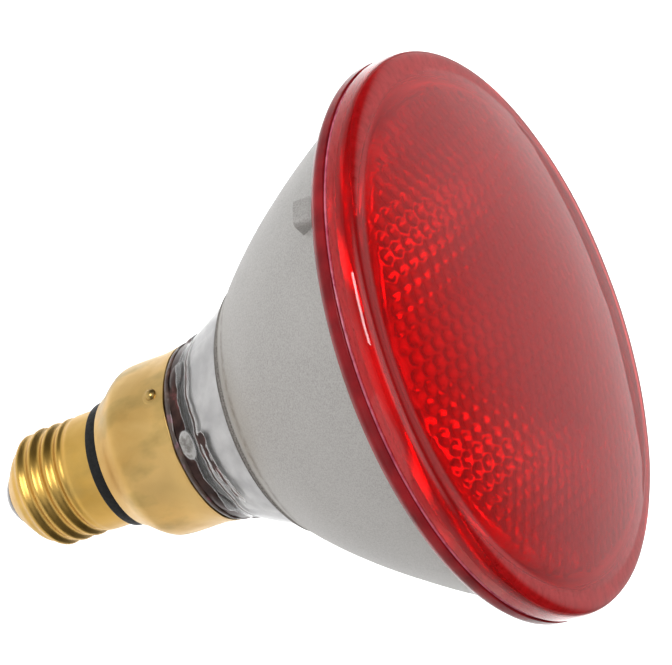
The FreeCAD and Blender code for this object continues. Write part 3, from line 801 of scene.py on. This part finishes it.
def build_skirt():
    """Drawn brass skirt with a rolled small end, a slightly uneven mouth and round crimps."""
    skin = Skin("brass_skirt")
    small = RING_R + 0.2
    rise = SKIRT_R - small
    outside = rounded([
        (small, SKIRT_LOW, 0),
        (small + 0.13 * rise, SKIRT_LOW + 0.2, 0.2),
        (small + 0.22 * rise, SKIRT_LOW + 1.1, 0.5),
        (small + 0.40 * rise, SKIRT_LOW + 2.5, 0.6),
        (small + 0.72 * rise, SKIRT_LOW + 4.65, 0.9),
        (small + 0.95 * rise, SKIRT_LOW + 6.6, 1.1),
        (SKIRT_R, SKIRT_LOW + 9.4, 1.4),
        (SKIRT_R, MOUTH_Z - 4, 1.5),
        (MOUTH_R, MOUTH_Z - 0.1, 0.1),
        (MOUTH_R - 0.2, MOUTH_Z, 0),
    ], 6)
    outside = dense(outside, 0.6)
    inside = [(r - SKIRT_T, z) for r, z in reversed(outside[3:-2])]

    def relief(angle, radius, z):
        mouth = ramp(z, MOUTH_Z - 3, MOUTH_Z)
        dent = 0.05 * wobble(angle, radius, z, 7, 9.0) + 0.10 * mouth * wobble(angle, radius, 0, 6, 4.0)
        return radius + dent, z + 0.22 * mouth * wobble(angle, radius, 0, 5, 6.0)

    skin.lathe(outside + inside, SKIRT_SEGMENTS, relief, loop=True)
    ball = [(CRIMP_R * math.cos(t), CRIMP_R * 0.86 * math.sin(t)) for t in np.linspace(0.15, TURN / 4, 10)]
    ball[-1] = (0, ball[-1][1])
    crimp = rounded([
        (0, -0.8, 0),
        (CRIMP_R + 0.9, -0.8, 0.2),
        (CRIMP_R + 0.85, 0.02, 0.3),
        (CRIMP_R + 0.05, 0.1, 0.1),
        (*ball[0], 0),
    ])
    for k in range(CRIMP_COUNT):
        start = len(skin.points)
        skin.lathe(crimp + ball[1:], 40)
        skin.move(start, outward(CRIMP_TURN + k * TURN / CRIMP_COUNT, SKIRT_R - 0.02, CRIMP_Z))
    satin = brass("skirt_brass", (0.68, 0.455, 0.17), (0.58, 0.355, 0.11), 0.30, 0.40, 0.8)
    return skin.build([satin], "skirt_brass", "cap_skirt")


def shell_radius(angle, z):
    """Outside of the screw shell: a rounded end, a knuckle thread and a smooth collar."""
    mean = SHELL_R - THREAD_DEPTH / 2
    share = min(1.0, (z - SHELL_LOW) / SHELL_END_LENGTH)
    body = SHELL_END_R + (mean - SHELL_END_R) * math.sin(share * math.pi / 2)
    collar = (SHELL_R - mean) * ramp(z, THREAD_HIGH - COLLAR_EASE + 0.4, THREAD_HIGH + 0.4)
    start = ramp(z, THREAD_LOW - 1.4, THREAD_LOW + 2.4)
    end = ramp(z, THREAD_HIGH - COLLAR_EASE, THREAD_HIGH)
    wave = math.cos(TURN * z / PITCH - angle)
    return body + collar + start * (1 - end) * wave * THREAD_DEPTH / 2


def build_shell():
    """Rolled brass screw shell with its helical knuckle thread."""
    skin = Skin("brass_screw_shell")
    step = 0.16
    rows = int((SHELL_TOP - SHELL_LOW) / step)
    heights = [SHELL_LOW + (SHELL_TOP - SHELL_LOW) * k / rows for k in range(rows + 1)]

    def relief(angle, inward, z):
        dent = 0.035 * wobble(angle, SHELL_R, z, 6, 8.0)
        return shell_radius(angle, z) + dent - inward, z

    thin = SHELL_T
    outside = [(thin / 3, heights[0])] + [(TINY, z) for z in heights[1:-1]] + [(thin / 3, heights[-1])]
    inside = [(thin, z) for z in reversed(heights)]
    skin.lathe(outside + inside, SHELL_SEGMENTS, relief, loop=True)
    polished = brass("thread_brass", (0.71, 0.445, 0.12), (0.60, 0.36, 0.08), 0.32, 0.42, 0.5)
    return skin.build([polished], "brass", "screw_shell")


def build_ring():
    """Black moulded ring between screw shell and skirt."""
    skin = Skin("black_ring")
    low, high = SHELL_TOP + 0.02, SKIRT_LOW - 0.02
    bore = RING_R - 3.6
    outline = rounded([
        (bore, RING_LOW, 0),
        (SHELL_R - SHELL_T - 0.1, RING_LOW, 0.2),
        (SHELL_R - SHELL_T - 0.1, low, 0.1),
        (RING_R - 0.15, low, 0.35),
        (RING_R, (low + high) / 2, 0.8),
        (RING_R - 0.1, high, 0.35),
        (RING_R - 0.9, high, 0.1),
        (RING_R - 0.9, RING_TOP, 0.2),
        (bore, RING_TOP, 0),
    ])

    def relief(angle, radius, z):
        return radius + 0.05 * wobble(angle, radius, z, 5, 12.0), z

    skin.lathe(dense(outline, 0.6), RING_SEGMENTS, relief, loop=True)
    return skin.build([black_moulding()], "black_ring", "insulating_ring")


def build_tip():
    """Black glass cone that fills the shell's end round the contact."""
    skin = Skin("glass_tip")
    hole = 1.2
    outline = rounded([
        (hole, PLATE_TOP, 0),
        (PLATE_R, PLATE_TOP, 0.1),
        (PLATE_R + 0.25, PLATE_LOW + 0.3, 0.15),
        (PLATE_R + 1.0, PLATE_LOW + 0.6, 0.4),
        (SHELL_END_R - 0.9, SHELL_LOW - 1.0, 0.5),
        (SHELL_END_R - 0.1, SHELL_LOW - 0.05, 0.2),
        (SHELL_END_R - SHELL_T - 0.15, SHELL_LOW + 0.1, 0.1),
        (SHELL_END_R - 0.7, TIP_TOP, 0.4),
        (hole, TIP_TOP, 0),
    ])

    def relief(angle, radius, z):
        return radius, z + 0.12 * wobble(angle, radius, z, 3, 15.0) * ramp(radius, PLATE_R + 0.3, TIP_R - 1)

    skin.lathe(dense(outline, 0.4), TIP_SEGMENTS, relief, loop=True)
    return skin.build([black_glass()], "black_glass", "base_insulator")


def build_contact():
    """Contact plate with a raised rim, and the solder bead on it."""
    skin = Skin("contact_plate")
    plate = rounded([
        (0, PLATE_LOW + 0.02, 0),
        (PLATE_R - 1.3, PLATE_LOW + 0.02, 0.4),
        (PLATE_R - 0.8, PLATE_LOW - 0.05, 0.3),
        (PLATE_R - 0.05, PLATE_LOW + 0.3, 0.3),
        (PLATE_R - 0.05, PLATE_TOP - 0.02, 0.1),
        (0, PLATE_TOP - 0.02, 0),
    ])
    skin.lathe(dense(plate, 0.4), 120)
    dull = brass("contact_brass", (0.72, 0.54, 0.27), (0.50, 0.36, 0.17), 0.3, 0.5, 0.8)
    skin.build([dull], "brass", "centre_contact")

    bead = Skin("contact_bead")
    bead_r, _, bead_top = extent("contact_solder")
    dome = [(bead_r * math.cos(t), bead_top * (1 - math.sin(t))) for t in np.linspace(TURN / 4, 0, 14)]
    dome[0] = (0, 0)

    def relief(angle, radius, z):
        swell = 0.25 * ramp(radius, 0.6, bead_r) * wobble(angle, radius, 0, 1.6, 21.0)
        return radius + swell, z

    bead.lathe(dome + [(bead_r - 0.2, bead_top + 0.1), (0, bead_top + 0.1)], 96, relief)
    solder = metal("solder_bead", (0.36, 0.36, 0.37), (0.62, 0.62, 0.64), 0.25, 0.5)
    return bead.build([solder], "solder", "contact_solder")


def finish_inner_parts():
    """Materials for the CAD nodes that stay: what is inside the glass and the cap."""
    steel = metal("plated_steel", (0.34, 0.32, 0.30), (0.55, 0.53, 0.50), 0.25, 0.4)
    nickel = metal("nickel_wire", (0.45, 0.43, 0.40), (0.66, 0.64, 0.60), 0.2, 0.35)
    silver = metal("silver_solder", (0.55, 0.54, 0.52), (0.78, 0.77, 0.75), 0.25, 0.45)
    tin = metal("soft_solder", (0.36, 0.36, 0.37), (0.62, 0.62, 0.64), 0.25, 0.5)
    tungsten = metal("tungsten", (0.16, 0.16, 0.17), (0.34, 0.34, 0.36), 0.35, 0.5, 2.0)
    ceramic = mineral("steatite", (0.66, 0.63, 0.58), (0.82, 0.80, 0.76), 0.55)
    braid = mineral("glass_braid", (0.58, 0.54, 0.44), (0.80, 0.76, 0.66), 0.75)
    finishes = {
        steel: ("ferrule_left", "ferrule_right"),
        nickel: ("lead_post_left", "lead_post_right", "filament_clamp_left", "filament_clamp_right",
                 "contact_lead", "shell_lead"),
        silver: ("braze_left", "braze_right"),
        tin: ("shell_solder",),
        tungsten: ("filament_coil", "filament_support"),
        ceramic: ("bridge_insulator",),
        braid: ("lead_sleeve",),
        clear_glass(): ("exhaust_tip",),
    }
    for material, nodes in finishes.items():
        for name in nodes:
            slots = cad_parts[name].data.materials
            slots.clear()
            slots.append(material)


# ---- floor, light and camera ----------------------------------------------------------------

FLOOR_Z = -0.25
FLOOR_HALF = 6.0
CAMERA_PLACE = (-0.01113, -0.88895, 0.52918)
CAMERA_ELEVATION = 26.41
CAMERA_ROLL = math.radians(70.40)
FOCAL_LENGTH = 253.4
SENSOR_WIDTH = 36.0
WALLS = (                   # soft patches of the room: azimuth, elevation, inner and outer angle, radiance
    (184, 14, 12, 48, 0.64),
    (0, 74, 6, 44, 1.55),
    (0, 25, 0, 110, 0.12),
    (180, 10, 0, 180, 0.06),
)


def direction(azimuth, elevation):
    """Unit vector to a place seen from the lamp. Azimuth 0 is the camera's side, 90 is +X."""
    a, e = math.radians(azimuth), math.radians(elevation)
    return Vector((math.sin(a) * math.cos(e), -math.cos(a) * math.cos(e), math.sin(e)))


def softbox(name, azimuth, elevation, distance, size, radiance, colour=(1, 1, 1), target=(0, 0, 0.07)):
    """A soft panel that faces the lamp and that the camera doesn't see."""
    data = bpy.data.lights.new(name, "AREA")
    data.shape = "RECTANGLE"
    data.size, data.size_y = size
    data.energy = radiance * math.pi * size[0] * size[1]
    data.color = colour
    light = bpy.data.objects.new(name, data)
    toward = direction(azimuth, elevation)
    light.location = Vector(target) + toward * distance
    light.rotation_mode = "QUATERNION"
    light.rotation_quaternion = toward.to_track_quat("Z", "Y")
    light.visible_camera = False
    bpy.context.scene.collection.objects.link(light)
    return light


def build_floor():
    """Plain pale floor, below the lamp so that its shadow stays clear of it."""
    half, level = FLOOR_HALF, FLOOR_Z
    mesh = bpy.data.meshes.new("floor")
    corners = [(-half, -half, level), (half, -half, level), (half, half, level), (-half, half, level)]
    mesh.from_pydata(corners, [], [(0, 1, 2, 3)])
    floor = bpy.data.objects.new("floor", mesh)
    bpy.context.scene.collection.objects.link(floor)
    paper = Finish("pale_paper", Roughness=0.9)
    paper.put("Base Color", paper.colours(
        paper.noise(0.004, 3.0), (0.3, (0.50, 0.50, 0.50)), (0.7, (0.53, 0.53, 0.53))))
    mesh.materials.append(paper.material)


def build_light():
    """Soft studio light: window near the camera, top box, low bounces, and a pale wall beyond the lens."""
    key = softbox("key", -25, 13, 1.1, (0.50, 0.36), 12.0)
    key.visible_transmission = False
    for name, azimuth in (("side_left", -80), ("side_right", 80)):
        side = softbox(name, azimuth, 36, 1.0, (0.18, 0.18), 20.0)
        side.visible_glossy = False
    for k, share in enumerate((1.04, 0.97, 0.90, 0.83)):
        size = (0.38 * share, 0.42 * share)
        softbox(f"pool_{k}", 0, -89, 0.23, size, 0.62, (1.0, 0.88, 0.88), target=(0.28, -0.70, 0))
    softbox("low_side", 0, -89, 0.23, (0.40, 0.60), 0.42, (1.0, 0.86, 0.72), target=(0.62, -0.05, 0))
    softbox("under", 0, -88, 0.28, (0.45, 0.45), 0.22, (1.0, 0.92, 0.84))
    backdrop = softbox("backdrop", 180, 50, 0.9, (1.5, 0.6), 7.5, target=(-0.05, 0.62, FLOOR_Z))
    backdrop.data.spread = math.radians(110)
    backdrop.visible_glossy = False
    backdrop.visible_transmission = False
    world = bpy.data.worlds.new("studio")
    bpy.context.scene.world = world
    world.use_nodes = True
    tree = world.node_tree
    place = tree.nodes.new("ShaderNodeTexCoord")
    total = None
    for azimuth, elevation, inner, outer, radiance in WALLS:
        aim = tree.nodes.new("ShaderNodeVectorMath")
        aim.operation = "DOT_PRODUCT"
        aim.inputs[1].default_value = direction(azimuth, elevation)
        tree.links.new(place.outputs["Generated"], aim.inputs[0])
        patch = tree.nodes.new("ShaderNodeMapRange")
        patch.interpolation_type = "SMOOTHERSTEP"
        span = math.cos(math.radians(outer)), math.cos(math.radians(inner))
        for key, value in zip(("From Min", "From Max", "To Min", "To Max"), (*span, 0.0, radiance)):
            patch.inputs[key].default_value = value
        tree.links.new(aim.outputs["Value"], patch.inputs["Value"])
        level = patch.outputs["Result"]
        if total:
            add = tree.nodes.new("ShaderNodeMath")
            tree.links.new(total, add.inputs[0])
            tree.links.new(level, add.inputs[1])
            level = add.outputs["Value"]
        total = level
    background = tree.nodes["Background"]
    background.inputs["Color"].default_value = (1, 1, 1, 1)
    tree.links.new(total, background.inputs["Strength"])


def build_camera():
    """The camera: a long lens 26 degrees up, rolled so that the cap is lower left."""
    data = bpy.data.cameras.new("camera")
    data.lens = FOCAL_LENGTH
    data.sensor_width = SENSOR_WIDTH
    camera = bpy.data.objects.new("camera", data)
    back = direction(0, CAMERA_ELEVATION)
    level = Vector((1, 0, 0))
    upright = back.cross(level)
    right = level * math.cos(CAMERA_ROLL) + upright * math.sin(CAMERA_ROLL)
    up = upright * math.cos(CAMERA_ROLL) - level * math.sin(CAMERA_ROLL)
    camera.matrix_world = Matrix((right, up, back)).transposed().to_4x4()
    camera.location = CAMERA_PLACE
    bpy.context.scene.collection.objects.link(camera)
    bpy.context.scene.camera = camera


build_lens()
build_reflector()
build_mirror()
build_seal()
build_cement()
build_skirt()
build_shell()
build_ring()
build_tip()
build_contact()
finish_inner_parts()
build_floor()
build_light()
build_camera()
bpy.context.scene.view_settings.view_transform = "Standard"

bpy.context.view_layer.update()
